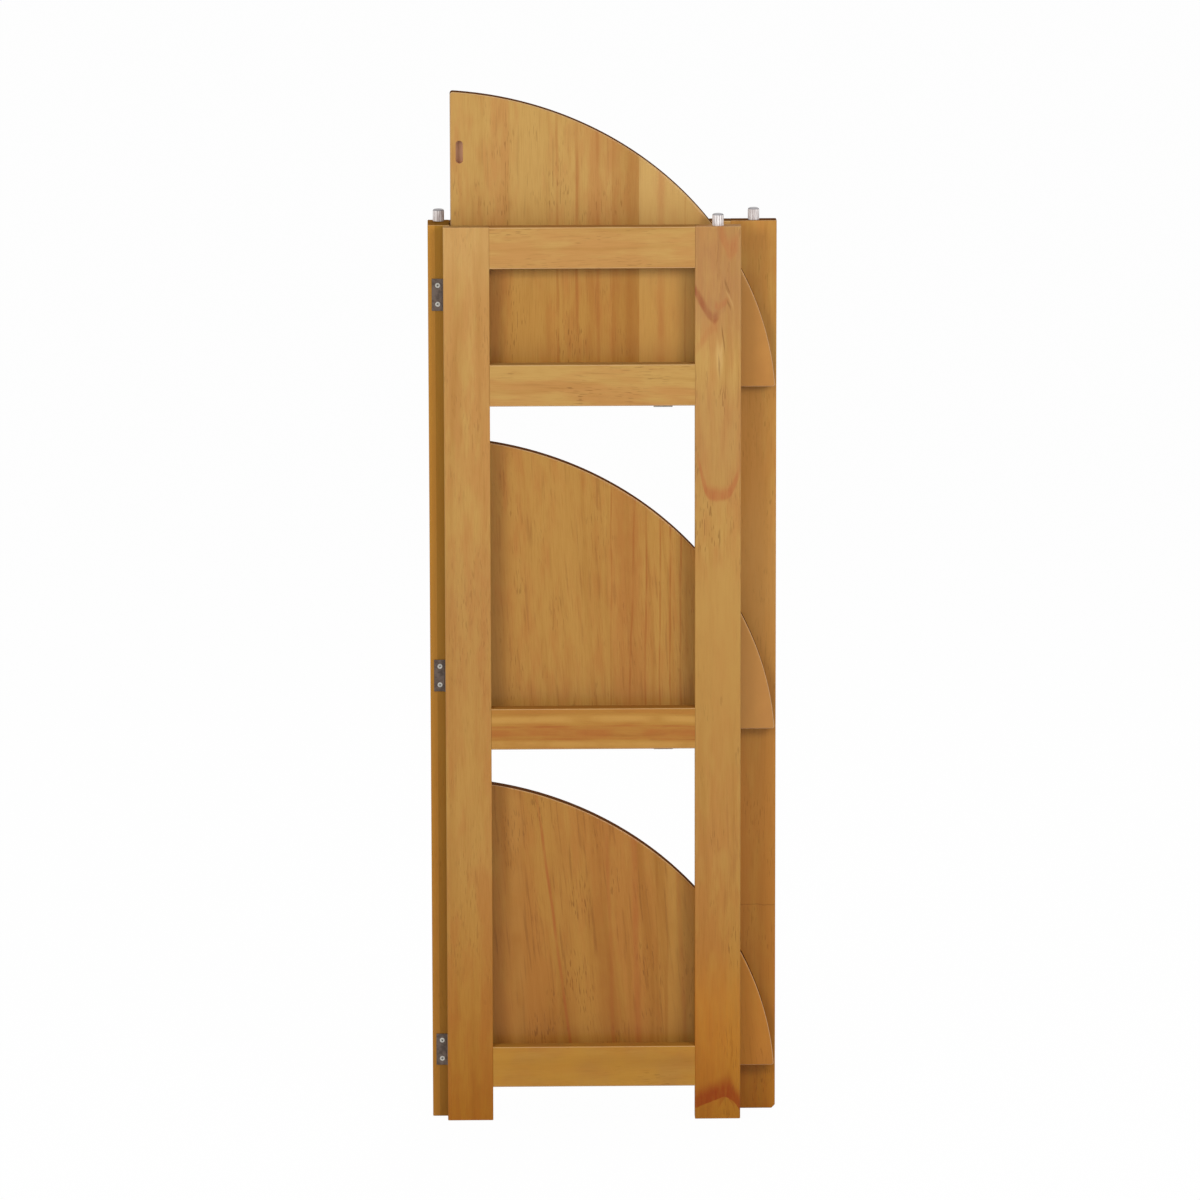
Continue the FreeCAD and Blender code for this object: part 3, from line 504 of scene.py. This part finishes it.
def raw_beech(name, low, high):
    """Unfinished fluted dowel between two corners: pale, with painted shade in its flutes and a
    darker grey end.
    """
    finish = Finish(f"raw_beech_{name}")
    middle = (Vector(low) + Vector(high)) / 2
    place = finish.place(shift=(-middle.x, -middle.y, 0.0))
    pair = {0: place, 1: IN_PLAN}
    level = finish.node("ShaderNodeVectorMath", {"operation": "MULTIPLY"}, pair)
    radius = finish.node("ShaderNodeVectorMath", {"operation": "LENGTH"}, {0: level}, "Value")
    flute = finish.smooth(radius, FLUTE_FLOOR, FLUTE_RIM, 1.0, 0.0)
    flank = finish.smooth(finish.facing(GRAIN_UP), 0.2, 0.5, 1.0, 0.0)
    fibres = finish.noise(finish.place(BEECH_FIBRES), detail=3.0)
    color = finish.tint(finish.smooth(fibres, 0.48, 0.72) * 0.6, RAW_BEECH, RAW_BEECH_LINE)
    # Painted shade: dark lines in the flutes
    color = finish.tint(flute * flank * 0.95, color, RAW_BEECH_LINE)
    return finish.surface(
        {
            "Base Color": finish.tint(0.8 - flank * 0.8, color, RAW_BEECH_END),
            "Roughness": finish.smooth(fibres, 0.3, 0.7, 0.65, 0.85),
            "Normal": finish.relief(fibres, 0.2, BEECH_RELIEF),
        }
    )


BLOOM = (240.0, 240.0, 240.0)
DULLED = 0.45


def plated_steel(name, color, roughness, dullness):
    """Plated sheet or bar with a faint cloudy bloom."""
    finish = Finish(name)
    bloom = finish.noise(finish.place(BLOOM), detail=4.0, roughness=0.6)
    dulled = tuple(channel * DULLED for channel in color)
    return finish.surface(
        {
            "Base Color": finish.tint(finish.smooth(bloom, 0.35, 0.7) * dullness, color, dulled),
            "Roughness": finish.smooth(bloom, 0.3, 0.7, roughness, roughness + 0.18),
            "Metallic": 1.0,
        }
    )


ZONE_REACH = 0.1


def zone(x, z, below, above, color, strength):
    """A change of colour right across a board."""
    ends = {"left_reach": ZONE_REACH, "right_reach": ZONE_REACH}
    return Mark(x, z, below=below, above=above, color=color, strength=strength, **ends)


# A branch knot near the top of the free stile, an arc in its middle and a flame at its foot
KNOT_STILE_MARKS = (
    zone(0.1200, 0.9000, 0.090, 0.200, ROSE_BROWN, 0.55),
    zone(0.1200, 0.7200, 0.080, 0.110, ROSE_BROWN, 0.28),
    zone(0.1200, 0.5400, 0.280, 0.085, YELLOW_HONEY, 0.74),
    zone(0.1200, 0.0900, 0.100, 0.110, BRIGHT_ORANGE, 0.34),
    Mark(0.1155, 0.8612, 1.75, 1.20, 0.006, 0.013, 0.002, 0.0500, 0.0070, KNOT_RED, 0.72),
    Mark(0.1160, 0.8660, 0.70, 0.90, 0.004, 0.030, 0.002, 0.0120, 0.0160, ROSE_BROWN, 0.30),
    Mark(0.1210, 0.8760, 0.90, 0.90, 0.004, 0.008, 0.002, 0.0050, 0.0140, REDDISH, 0.34),
    Mark(0.1170, 0.8590, -1.40, -1.40, 0.006, 0.012, 0.002, 0.0300, 0.0040, REDDISH, 0.24),
    Mark(0.1325, 0.9300, 2.40, 1.30, 0.008, 0.024, 0.002, 0.0150, 0.0120, REDDISH, 0.42),
    Mark(0.1315, 0.8980, 3.20, -3.20, 0.004, 0.004, 0.001, 0.0040, 0.0020, PORE, 0.38),
    Mark(0.1310, 0.8820, 2.60, -2.60, 0.004, 0.004, 0.001, 0.0020, 0.0030, PORE, 0.42),
    Mark(0.1290, 0.9020, 4.20, -4.20, 0.004, 0.004, 0.001, 0.0020, 0.0030, PORE, 0.26),
    Mark(0.1330, 0.8860, 2.40, -2.40, 0.004, 0.004, 0.001, 0.0050, 0.0040, PALE_SAPWOOD, 0.30),
    Mark(0.1262, 0.8440, 9.00, -9.00, 0.012, 0.012, 0.001, 0.0018, 0.0018, PORE, 0.60),
    Mark(0.1225, 0.8100, 5.00, 5.00, 0.026, 0.026, 0.002, 0.0050, 0.0045, PALE_SAPWOOD, 0.50),
    Mark(0.1222, 0.8150, 8.00, -8.00, 0.014, 0.014, 0.001, 0.0014, 0.0014, PORE, 0.40),
    Mark(0.1085, 0.6760, 4.00, 0.00, 0.005, 0.015, 0.003, 0.0120, 0.0170, REDDISH, 0.52),
    Mark(0.1340, 0.6760, 0.00, 2.50, 0.005, 0.015, 0.003, 0.0170, 0.0120, REDDISH, 0.52),
    Mark(0.1310, 0.0270, -0.42, -1.10, 0.001, 0.026, 0.003, 0.0500, 0.0250, BRICK, 0.80),
    Mark(0.1310, 0.0320, -2.00, -2.60, 0.002, 0.036, 0.003, 0.0120, 0.0100, BRICK, 0.40),
)
HINGE_STILE_MARKS = (
    zone(-0.1440, 0.9500, 0.080, 0.200, PALE_SAPWOOD, 0.28),
    zone(-0.1440, 0.5200, 0.140, 0.140, ROSE_BROWN, 0.18),
)
# The second one is the line of the stile's finger joint
REAR_STILE_MARKS = (
    zone(0.1600, 0.5600, 0.110, 0.150, PALE_SAPWOOD, 0.20),
    zone(0.1600, 0.2245, 0.0009, 0.0009, PORE, 0.35),
)

BANDED_RAIL_STREAKS = (
    Streak(0.4462, half_width=0.0035, color=ORANGE_HONEY, strength=0.80),
    Streak(0.4378, 0.0, 0.006, 0.0060, PALE_SAPWOOD, 0.85),
    Streak(0.4300, 0.0, 0.006, 0.0018, REDDISH, 0.45),
    Streak(0.4235, 0.0, 0.004, 0.0075, REDDISH, 0.50),
    Streak(0.4165, 0.0, 0.000, 0.0016, REDDISH, 0.35),
    Streak(0.4108, 0.0, -0.003, 0.0055, PALE_SAPWOOD, 0.75),
)
GOLDEN_RAIL_STREAKS = (Streak(0.0580, half_width=0.0900, color=STRAW_GOLD, strength=0.50),)
TOP_SHELF_STREAKS = (
    Streak(-0.0475, half_width=0.0024, color=RUSSET, strength=0.48),
    Streak(-0.0269, half_width=0.0026, color=RUSSET, strength=0.58),
    Streak(-0.0051, half_width=0.0028, color=RUSSET, strength=0.44),
    Streak(-0.0010, half_width=0.0220, color=RUSSET, strength=0.20),
    Streak(0.0140, half_width=0.0080, strength=0.14),
    Streak(0.0300, half_width=0.0110, color=RUSSET, strength=0.34),
    Streak(0.0620, half_width=0.0065, strength=0.34),
    Streak(0.0873, half_width=0.0014, color=RUSSET, strength=0.30),
    # Painted shade over the shelf's part beside the free stile
    Streak(0.1740, half_width=0.0180, color=ROSE_BROWN, strength=0.36),
)
MIDDLE_SHELF_STREAKS = (
    # Painted shade: a reddish-brown band at the window's left edge, where the stile's shadow falls
    Streak(-0.1100, 0.50, 0.0, 0.0220, RUSSET, 0.24),
    Streak(0.0300, 0.50, 0.004, 0.0280, RUSSET, 0.26),
    Streak(0.0079, 0.50, 0.004, 0.0014, RUSSET, 0.50),
    Streak(0.0290, 0.50, 0.030, 0.0017, RUSSET, 0.70),
    Streak(0.0449, 0.50, 0.012, 0.0016, RUSSET, 0.75),
    Streak(0.0601, 0.50, 0.006, 0.0013, RUSSET, 0.60),
    Streak(0.0710, 0.50, 0.002, 0.0015, RUSSET, 0.70),
    Streak(0.0818, 0.50, 0.004, 0.0018, RUSSET, 0.62),
    # Painted shade over the shelf's part beside the free stile
    Streak(0.1740, 0.50, 0.000, 0.0180, ROSE_BROWN, 0.30),
)
LOWER_SHELF_STREAKS = (
    Streak(-0.0660, 0.3066, -0.130, 0.0024, strength=0.62),
    Streak(-0.0930, 0.2000, -0.020, 0.0140, color=PALE_SAPWOOD, strength=0.30),
    Streak(-0.0400, 0.2000, -0.080, 0.0110, color=RUSSET, strength=0.26),
    Streak(0.0010, 0.2000, -0.020, 0.0170, color=RUSSET, strength=0.34),
    Streak(0.0060, 0.2000, -0.030, 0.0030, strength=0.30),
    Streak(0.0340, 0.2000, -0.020, 0.0055, strength=0.42),
    Streak(0.0570, 0.2000, -0.010, 0.0022, color=DEEP_HONEY, strength=0.40),
    Streak(0.0730, 0.2000, -0.010, 0.0090, color=PALE_SAPWOOD, strength=0.26),
    Streak(0.0820, 0.2000, -0.050, 0.0040, strength=0.20),
    # Painted shade over the shelf's part beside the free stile
    Streak(0.1740, 0.2000, 0.000, 0.0180, ROSE_BROWN, 0.30),
)


def upright(seed, **figure):
    return Board(GRAIN_UP, seed, **figure)


def rail(seed, **figure):
    return Board(GRAIN_ALONG, seed, **figure)


def shelf(seed, **figure):
    edges = {"edge_axis": SIDEWAYS, "edge_stain": 0.95, "edge_coat": 0.0}
    return Board(GRAIN_UP, seed, slotted=True, **edges, **figure)


BOARDS = {
    "corner_post": upright(
        1.3,
        stain=POST_PAINTED_SHADE,
        edge_stain=0.60,
        edge_coat=0.0,
        # The second band is painted shade, where the front frame's shadow falls on the post's face
        planks=((-0.20, -0.1765, AMBER, 0.75), (-0.1765, -0.1, OLIVE_PAINTED_SHADE, 0.75)),
    ),
    "front_hinge_stile": upright(2.7, lines=0.06, rings=0.15, pores=0.22, marks=HINGE_STILE_MARKS),
    "front_free_stile": upright(3.1, orange=-0.03, marks=KNOT_STILE_MARKS),
    "rear_stile": upright(
        4.9,
        stain=REAR_PAINTED_SHADE,
        edge_stain=0.92,
        edge_coat=0.0,
        planks=((0.10, 0.20, BRIGHT_ORANGE, 0.22),),
        marks=REAR_STILE_MARKS,
    ),
    "front_rail_top": rail(5.2, tilt=0.02, orange=0.06, bands=0.6),
    "front_rail_upper": rail(6.6, tilt=-0.03, orange=-0.03, bands=0.6),
    "front_rail_middle": rail(
        7.4, rings=0.1, pores=0.2, stain=LOW_RAIL_PAINTED_SHADE, streaks=BANDED_RAIL_STREAKS
    ),
    "front_rail_lower": rail(
        8.1, tilt=0.02, orange=-0.04, stain=LOW_RAIL_PAINTED_SHADE, streaks=GOLDEN_RAIL_STREAKS
    ),
    "rear_rail_top": rail(9.5, edge_stain=0.92, edge_coat=0.0),
    "rear_rail_upper": rail(10.3, stain=REAR_PAINTED_SHADE, edge_stain=0.80),
    "rear_rail_middle": rail(11.7, stain=REAR_PAINTED_SHADE, edge_stain=0.80),
    "rear_rail_lower": rail(12.9, stain=REAR_PAINTED_SHADE, edge_stain=0.80),
    "shelf_upper": shelf(
        13.4,
        stain=TOP_SHELF_PAINTED_SHADE,
        orange=-0.03,
        rings=0.15,
        planks=(
            (0.0100, 0.0384, DEEP_HONEY, 0.34),
            (0.0384, 0.145, PALE_SAPWOOD, 0.38),
            # Painted light beside the free stile, where the front frame shades the shelf
            (0.145, 0.200, ROSY_PAINTED_LIGHT, 0.90),
        ),
        streaks=TOP_SHELF_STREAKS,
    ),
    "shelf_middle": shelf(
        14.8,
        tilt=0.05,
        rings=0.20,
        lines=0.20,
        pores=0.30,
        bands=0.6,
        stain=MIDDLE_SHELF_PAINTED_SHADE,
        # Painted light beside the free stile, where the front frame shades the shelf
        planks=((0.140, 0.200, ROSY_PAINTED_LIGHT, 0.90),),
        streaks=MIDDLE_SHELF_STREAKS,
    ),
    "shelf_lower": shelf(
        15.6,
        tilt=0.09,
        pores=0.65,
        lines=0.36,
        bands=1.6,
        rings=0.42,
        stain=LOWER_SHELF_PAINTED_SHADE,
        planks=(
            (-0.200, 0.0688, ORANGE_HONEY, 0.15),
            (0.0688, 0.140, YELLOW_HONEY, 0.50),
            # Painted light beside the free stile, where the front frame shades the shelf
            (0.140, 0.200, BRIGHT_ORANGE, 0.50),
        ),
        streaks=LOWER_SHELF_STREAKS,
    ),
}


def finish_nodes(nodes):
    """Gives each CAD node its own finish. Gives back the screws' finish and the painted shade for
    their recesses.
    """
    for name, board in BOARDS.items():
        dress(nodes[name], stained_pine(name, board))
    hinge = plated_steel("hinge_plating", HINGE_PLATING, 0.42, 0.6)
    strip = plated_steel("strip_plating", STRIP_PLATING, 0.34, 0.5)
    screw = plated_steel("screw_plating", SCREW_PLATING, 0.25, 0.3)
    for name, node in nodes.items():
        if name.startswith("stacking_dowel"):
            dress(node, raw_beech(name, *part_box(name)))
        elif name.endswith(("_leaf", "_pin")):
            dress(node, hinge)
        elif name.endswith("_screws"):
            dress(node, screw)
        elif name.startswith("shelf_bracket"):
            dress(node, strip)
    return screw, plated_steel("recess_painted_shade", RECESS_PAINTED_SHADE, 0.55, 0.5)


def dress(piece, material):
    piece.data.materials.clear()
    piece.data.materials.append(material)


# Screw heads: the way out of the wood for each group
SCREW_GROUPS = {
    "fold_hinge_post_screws": Vector((0, -1, 0)),
    "fold_hinge_frame_screws": Vector((-1, 0, 0)),
    "shelf_hinge_rail_screws": Vector((0, -1, 0)),
    "shelf_bracket_screws": Vector((0, 1, 0)),
    "shelf_hinge_lower_shelf_screws": Vector((0, 0, -1)),
    "shelf_hinge_middle_shelf_screws": Vector((0, 0, -1)),
    "shelf_hinge_upper_shelf_screws": Vector((0, 0, -1)),
}
RECESS_SPAN = 3.3 * MM
RECESS_WIDTH = 0.75 * MM
RECESS_DEPTH = 1.1 * MM
RECESS_TAPER = 0.55
RECESS_TURN = 0.9
WELD_DISTANCE = 0.001 * MM
HEAD_FLATNESS = 0.01 * MM
PLACE_DIGITS = 5


def screw_centres(mesh, out):
    """The middle of each screw's head, from the connected parts of a welded mesh.

    A head's corners are sorted before they are added up, so that every run gives the same sum.
    """
    left = set(mesh.verts)
    centres = []
    while left:
        group = {left.pop()}
        edge_of_group = list(group)
        while edge_of_group:
            vertex = edge_of_group.pop()
            for edge in vertex.link_edges:
                other = edge.other_vert(vertex)
                if other in left:
                    left.remove(other)
                    group.add(other)
                    edge_of_group.append(other)
        top = max(v.co.dot(out) for v in group)
        head = sorted(tuple(v.co) for v in group if top - v.co.dot(out) < HEAD_FLATNESS)
        centres.append(sum(map(Vector, head), Vector()) / len(head))
    return sorted(centres, key=lambda c: tuple(round(value, PLACE_DIGITS) for value in c))


def recess_cutter(centres, out, material):
    """Crossed tapered bars that stand over each head."""
    cutter = bmesh.new()
    facing = out.to_track_quat("Z", "Y").to_matrix().to_4x4()
    for count, centre in enumerate(centres):
        for quarter in (0.0, math.pi / 2):
            bar = bmesh.ops.create_cube(cutter, size=1.0)["verts"]
            size = Matrix.Diagonal((RECESS_SPAN, RECESS_WIDTH, 2 * RECESS_DEPTH, 1.0))
            bmesh.ops.transform(cutter, matrix=size, verts=bar)
            deep = [v for v in bar if v.co.z < 0]
            bmesh.ops.scale(cutter, vec=(RECESS_TAPER, RECESS_TAPER, 1.0), verts=deep)
            turn = Matrix.Rotation(count * RECESS_TURN + quarter, 4, "Z")
            place = Matrix.Translation(centre) @ facing @ turn
            bmesh.ops.transform(cutter, matrix=place, verts=bar)
    mesh = bpy.data.meshes.new("recess_cutter")
    cutter.to_mesh(mesh)
    cutter.free()
    piece = bpy.data.objects.new("recess_cutter", mesh)
    dress(piece, material)
    bpy.context.scene.collection.objects.link(piece)
    return piece


def cross_head_screws(name, node, out, body, plating, recess_shade):
    """The node's screws with a cross recess in each head."""
    welded = bmesh.new()
    welded.from_mesh(node.data)
    bmesh.ops.remove_doubles(welded, verts=welded.verts, dist=WELD_DISTANCE)
    centres = screw_centres(welded, out)
    mesh = bpy.data.meshes.new(f"{name}_cross_heads")
    welded.to_mesh(mesh)
    welded.free()
    screws = bpy.data.objects.new(f"{name}_cross_heads", mesh)
    bpy.context.scene.collection.objects.link(screws)
    dress(screws, plating)
    cutter = recess_cutter(centres, out, recess_shade)
    cut = screws.modifiers.new("Recess", "BOOLEAN")
    cut.operation = "DIFFERENCE"
    cut.solver = "EXACT"
    cut.use_self = True
    # The recesses' faces take the cutter's painted shade
    cut.material_mode = "TRANSFER"
    cut.object = cutter
    bpy.context.view_layer.update()
    evaluated = screws.evaluated_get(bpy.context.evaluated_depsgraph_get())
    result = bpy.data.meshes.new_from_object(evaluated)
    screws.modifiers.clear()
    screws.data = result
    bpy.data.objects.remove(cutter)
    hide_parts(name)
    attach(screws, body)


# Studio
FLOOR_RADIUS = 14.0
FLOOR_SIDES = 64
FLOOR_WHITE = 0.90
FLOOR_GLOW = 0.98
FILL_STRENGTH = 0.44
LAMP_SIZE = 0.7
LAMP_AIM = Vector((0.0, 0.0, 0.62))
LAMPS = {
    "left": (Vector((-1.15, -1.75, 1.55)), 16.0),
    "right": (Vector((1.15, -1.75, 1.55)), 16.0),
    "behind": (Vector((0.30, 1.70, 2.40)), 22.0),
}

# Camera
CAMERA_PLACE = Vector((-0.1617, -8.030, 2.1057))
CAMERA_PITCH = -0.190
CAMERA_YAW = -0.0197
CAMERA_ROLL = -0.0022
CAMERA_LENS = 231.14
CAMERA_REACH = 100.0


def seen_directly(nodes):
    """1 for rays that show the background, straight or by gloss or glass."""
    camera, glossy, clear = (
        nodes.node("ShaderNodeLightPath", output=f"Is {ray} Ray")
        for ray in ("Camera", "Glossy", "Transmission")
    )
    return camera.math("MAXIMUM", camera.math("MAXIMUM", camera, glossy), clear)


def lay_floor():
    disc = bmesh.new()
    bmesh.ops.create_circle(disc, cap_ends=True, segments=FLOOR_SIDES, radius=FLOOR_RADIUS)
    mesh = bpy.data.meshes.new("floor")
    disc.to_mesh(mesh)
    disc.free()
    floor = bpy.data.objects.new("floor", mesh)
    bpy.context.scene.collection.objects.link(floor)
    finish = Finish("pale_floor")
    matt = finish.node("ShaderNodeBsdfDiffuse", inputs={"Color": (FLOOR_WHITE,) * 3})
    glow = finish.node("ShaderNodeEmission", inputs={"Strength": 1.0})
    mix = {0: seen_directly(finish) * FLOOR_GLOW, 1: matt, 2: glow}
    surface = finish.node("ShaderNodeMixShader", inputs=mix)
    finish.node("ShaderNodeOutputMaterial", inputs={0: surface})
    dress(floor, finish.material)


def light_studio():
    """Two soft lamps in front, one behind, and a dim even fill."""
    world = bpy.data.worlds.new("studio")
    bpy.context.scene.world = world
    world.use_nodes = True
    backdrop = Nodes(world.node_tree)
    strength = FILL_STRENGTH + seen_directly(backdrop) * (1.0 - FILL_STRENGTH)
    glow = {"Color": (1.0, 1.0, 1.0), "Strength": strength}
    white = backdrop.node("ShaderNodeBackground", inputs=glow)
    backdrop.node("ShaderNodeOutputWorld", inputs={0: white})
    for name, (place, power) in LAMPS.items():
        lamp = bpy.data.lights.new(f"lamp_{name}", "AREA")
        lamp.shape = "SQUARE"
        lamp.size = LAMP_SIZE
        lamp.energy = power
        stand = bpy.data.objects.new(f"lamp_{name}", lamp)
        stand.location = place
        stand.rotation_euler = (LAMP_AIM - place).to_track_quat("-Z", "Y").to_euler()
        bpy.context.scene.collection.objects.link(stand)


def set_camera():
    lens = bpy.data.cameras.new("camera")
    lens.lens = CAMERA_LENS
    lens.clip_end = CAMERA_REACH
    camera = bpy.data.objects.new("camera", lens)
    turn = (
        Matrix.Rotation(CAMERA_YAW, 4, "Z")
        @ Matrix.Rotation(math.pi / 2 + CAMERA_PITCH, 4, "X")
        @ Matrix.Rotation(CAMERA_ROLL, 4, "Z")
    )
    camera.matrix_world = Matrix.Translation(CAMERA_PLACE) @ turn
    bpy.context.scene.collection.objects.link(camera)
    bpy.context.scene.camera = camera


def main():
    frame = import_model()
    plating, recess_shade = finish_nodes(frame["nodes"])
    bodies = frame["record"]["behaviour"]["bodies"]
    owner = {node: body for body, members in bodies.items() for node in members}
    for name, out in SCREW_GROUPS.items():
        cross_head_screws(name, frame["nodes"][name], out, owner[name], plating, recess_shade)
    lay_floor()
    light_studio()
    set_camera()
    bpy.context.scene.view_settings.view_transform = "Standard"


main()
